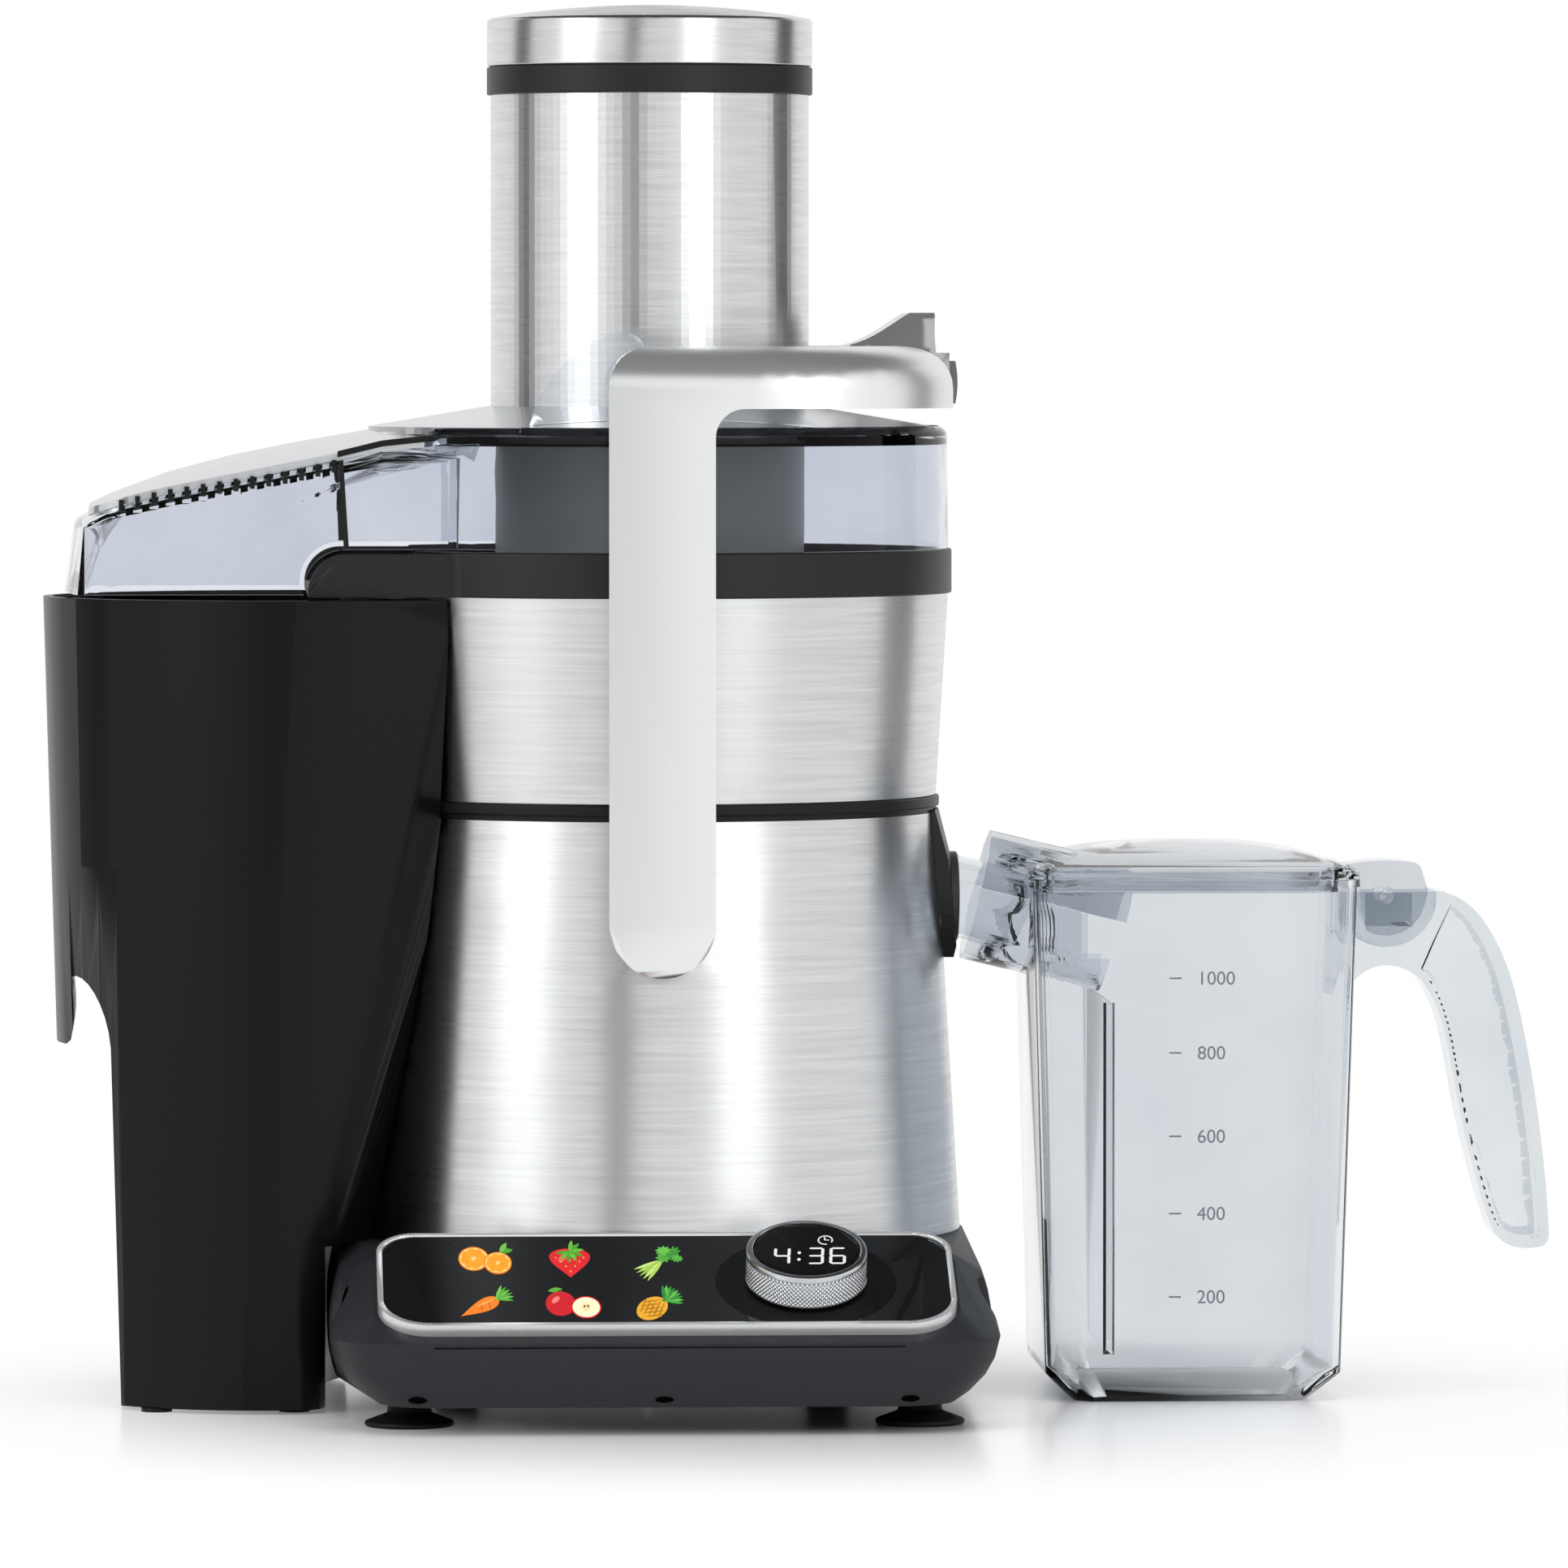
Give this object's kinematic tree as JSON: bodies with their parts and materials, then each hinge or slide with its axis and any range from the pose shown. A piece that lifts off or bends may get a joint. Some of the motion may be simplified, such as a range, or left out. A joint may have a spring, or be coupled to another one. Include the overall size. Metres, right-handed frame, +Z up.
{
  "type": "centrifugal juicer",
  "caption": "Centrifugal juicer with a wide feed chute, a swinging locking arm, a touch desk with a knob, a pulp bin and a lidded juice jug.",
  "frame": {"origin": "on the table, under the middle of the footprint of juicer, bin and jug", "axes": "+X towards the spout and the jug, -Y towards the person who uses it, +Z up"},
  "size_m": [0.4458, 0.2422, 0.4101],
  "materials": {
    "charcoal_plastic": "satin moulded",
    "black_plastic": "satin moulded",
    "grey_plastic": "satin moulded",
    "olive_plastic": "satin moulded",
    "black_rubber": "soft",
    "brushed_steel": "horizontal grain",
    "filter_steel": "etched mesh",
    "zinc_steel": "plain",
    "frame_chrome": "satin",
    "knob_metal": "knurled",
    "black_glass": "gloss",
    "circuit_board": "matt",
    "silver_paint": "satin silver",
    "button_plastic": "satin",
    "lid_clear": "clear plastic",
    "jug_clear": "clear plastic",
    "motor_iron": "laminated",
    "copper_wire": "enamelled",
    "cast_aluminium": "cast",
    "carbon": "matt"
  },
  "bodies": {
    "base": {"base_shell": "charcoal_plastic", "base_plate": "charcoal_plastic", "base_screws": "zinc_steel", "foot_stems": "zinc_steel", "suction_cups": "black_rubber", "cord_gland": "black_plastic", "panel_frame": "frame_chrome", "panel_glass": "black_glass", "control_board": "circuit_board", "rotary_encoder": "grey_plastic", "housing_shell": "brushed_steel", "housing_liner": "charcoal_plastic", "motor_deck": "charcoal_plastic", "spout_escutcheon": "black_plastic", "spout_collar": "olive_plastic", "spout_tube": "jug_clear", "pivot_bosses": "zinc_steel", "pivot_pins": "zinc_steel", "stator_core": "motor_iron", "field_coils": "copper_wire", "lower_bracket": "cast_aluminium", "upper_bracket": "cast_aluminium", "shaft_bearings": "zinc_steel", "through_bolts": "zinc_steel", "rubber_mounts": "black_rubber", "carbon_brushes": "carbon", "shaft_seal": "black_rubber", "juice_bowl": "grey_plastic", "bowl_foot_ring": "charcoal_plastic", "bowl_wrap": "brushed_steel", "bowl_ring": "black_plastic", "clear_lid": "lid_clear", "lid_cover": "silver_paint", "lid_trim": "black_plastic", "vent_grilles": "grey_plastic", "fin_guards": "lid_clear", "feed_chute": "grey_plastic", "chute_sleeve": "brushed_steel", "chute_rim": "black_plastic"},
    "spindle": {"motor_shaft": "zinc_steel", "armature": "motor_iron", "cooling_fan": "grey_plastic", "drive_coupling": "grey_plastic", "filter_hub": "grey_plastic", "filter_mesh": "filter_steel", "filter_rim": "filter_steel", "cutter_disc": "filter_steel"},
    "pusher": {"pusher_body": "grey_plastic", "pusher_cap": "brushed_steel"},
    "arm": {"locking_arm": "silver_paint", "latch_spring": "filter_steel"},
    "lock_button": {"lock_button": "button_plastic"},
    "knob": {"knob_ring": "knob_metal"},
    "start_button": {"start_button": "black_glass"},
    "bin": {"pulp_bin": "black_plastic", "bin_feet": "black_rubber"},
    "jug": {"jug_body": "jug_clear", "froth_separator": "jug_clear", "jug_handle": "jug_clear"},
    "jug_lid": {"jug_lid": "jug_clear"}
  },
  "joints": [
    {"name": "spindle_spin", "type": "hinge", "parent": "base", "child": "spindle", "pos_m": [-0.0436, 0.025, 0.19], "axis": [0, 0, 1], "continuous": true},
    {"name": "pusher_slide", "type": "slide", "parent": "base", "child": "pusher", "axis": [0, 0, 1], "range_m": [0, 0.16]},
    {"name": "arm_swing", "type": "hinge", "parent": "base", "child": "arm", "pos_m": [-0.0436, 0.025, 0.1428], "axis": [0, 1, 0], "range_deg": [0, 48]},
    {"name": "lock_press", "type": "slide", "parent": "arm", "child": "lock_button", "axis": [-1, 0, 0], "range_m": [0, 0.0025], "stiffness_N_per_m": 600, "deforming": ["latch_spring"]},
    {"name": "knob_turn", "type": "hinge", "parent": "base", "child": "knob", "pos_m": [-0.0036, -0.0945, 0.04198], "axis": [0, -0.4163, 0.9092], "continuous": true},
    {"name": "start_press", "type": "slide", "parent": "base", "child": "start_button", "axis": [0, 0.4163, -0.9092], "range_m": [0, 0.0008], "stiffness_N_per_m": 800},
    {"name": "bin_pull", "type": "slide", "parent": "base", "child": "bin", "axis": [-1, 0, 0], "range_m": [0, 0.12]},
    {"name": "jug_pull", "type": "slide", "parent": "base", "child": "jug", "axis": [1, 0, 0], "range_m": [0, 0.1]},
    {"name": "jug_lid_lift", "type": "hinge", "parent": "jug", "child": "jug_lid", "pos_m": [0.17443, 0.025, 0.14652], "axis": [0, 1, 0], "range_deg": [0, 60]}
  ]
}
